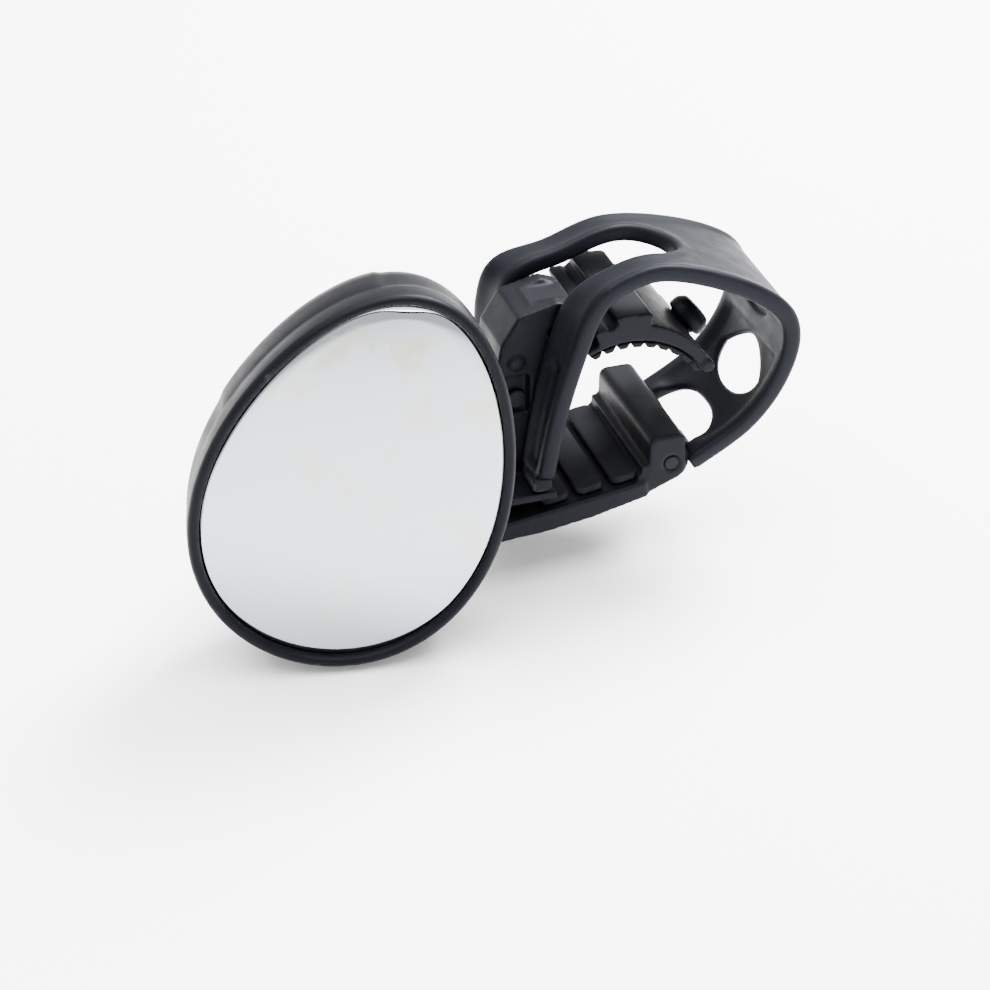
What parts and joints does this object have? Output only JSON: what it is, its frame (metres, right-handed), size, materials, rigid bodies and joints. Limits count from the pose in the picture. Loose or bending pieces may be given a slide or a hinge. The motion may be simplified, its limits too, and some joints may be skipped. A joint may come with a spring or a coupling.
{
  "type": "bicycle mirror",
  "caption": "Egg-shaped convex mirror on a ball joint, with a toothed jaw and an elastomer strap that clamp it to a tube.",
  "frame": {"origin": "axis of the tube that the clamp holds, half way along the strap's width", "axes": "+Y along the tube, away from the side the mirror faces; +Z from the tube towards the jaw; +X from the tube towards the strap's bend"},
  "size_m": [0.0903, 0.0358, 0.0548],
  "materials": {
    "mirror": "convex mirror, silvered acrylic",
    "foam_tape": "double-sided foam tape",
    "head_plastic": "satin black moulding",
    "socket_plastic": "glass-filled nylon",
    "acetal": "acetal",
    "stud_plastic": "glass-filled nylon",
    "base_plastic": "satin black moulding",
    "elastomer": "soft black elastomer",
    "strap_elastomer": "satin black elastomer",
    "steel": "zinc plated"
  },
  "bodies": {
    "clamp": {"base_body": "base_plastic", "grip_pad_1": "elastomer", "grip_pad_2": "elastomer", "grip_pad_3": "elastomer", "jaw_pin": "stud_plastic", "strap_pin": "stud_plastic", "side_screw_front": "stud_plastic", "side_screw_back": "stud_plastic", "ball_stud": "stud_plastic", "stud_washer": "steel", "stud_screw": "steel"},
    "jaw": {"saddle_jaw": "base_plastic", "jaw_pad": "elastomer", "strap_peg": "base_plastic"},
    "ball_turn": {"friction_shell_inner": "acetal"},
    "ball_nod": {"friction_shell_outer": "acetal"},
    "head": {"mirror_lens": "mirror", "lens_tape": "foam_tape", "head_housing": "head_plastic", "head_back_cover": "head_plastic", "socket_cup": "socket_plastic", "socket_ring": "socket_plastic", "socket_screw_1": "steel", "socket_screw_2": "steel", "socket_screw_3": "steel"},
    "strap_root": {"strap_lower": "strap_elastomer"},
    "strap_loop": {"strap_upper": "strap_elastomer", "foot_tip_front": "base_plastic", "foot_tip_back": "base_plastic"}
  },
  "joints": [
    {"name": "head_turn", "type": "hinge", "parent": "clamp", "child": "ball_turn", "pos_m": [-0.0399, -0.0107, 0.0034], "axis": [0.0164, 0.1032, 0.9945], "range_deg": [-20, 20]},
    {"name": "head_nod", "type": "hinge", "parent": "ball_turn", "child": "ball_nod", "pos_m": [-0.0399, -0.0107, 0.0034], "axis": [0.9877, -0.1564, 0], "range_deg": [-20, 20]},
    {"name": "head_spin", "type": "hinge", "parent": "ball_nod", "child": "head", "pos_m": [-0.0399, -0.0107, 0.0034], "axis": [-0.1556, -0.9823, 0.1045], "continuous": true},
    {"name": "jaw_flex", "type": "hinge", "parent": "clamp", "child": "jaw", "pos_m": [-0.0086, 0, 0.0134], "axis": [0, -1, 0], "range_deg": [0, 5], "stiffness_Nm_per_rad": 0.2},
    {"name": "strap_hinge", "type": "hinge", "parent": "clamp", "child": "strap_root", "pos_m": [0.0068, 0, -0.0074], "axis": [0, 1, 0], "range_deg": [0, 20], "stiffness_Nm_per_rad": 0.01},
    {"name": "strap_bend", "type": "hinge", "parent": "strap_root", "child": "strap_loop", "pos_m": [0.0249, 0, 0.0058], "axis": [0, 1, 0], "range_deg": [0, 100], "stiffness_Nm_per_rad": 0.01}
  ],
  "couplings": [
    {"joint": "strap_hinge", "follows": "strap_bend", "ratio": 0.2}
  ]
}
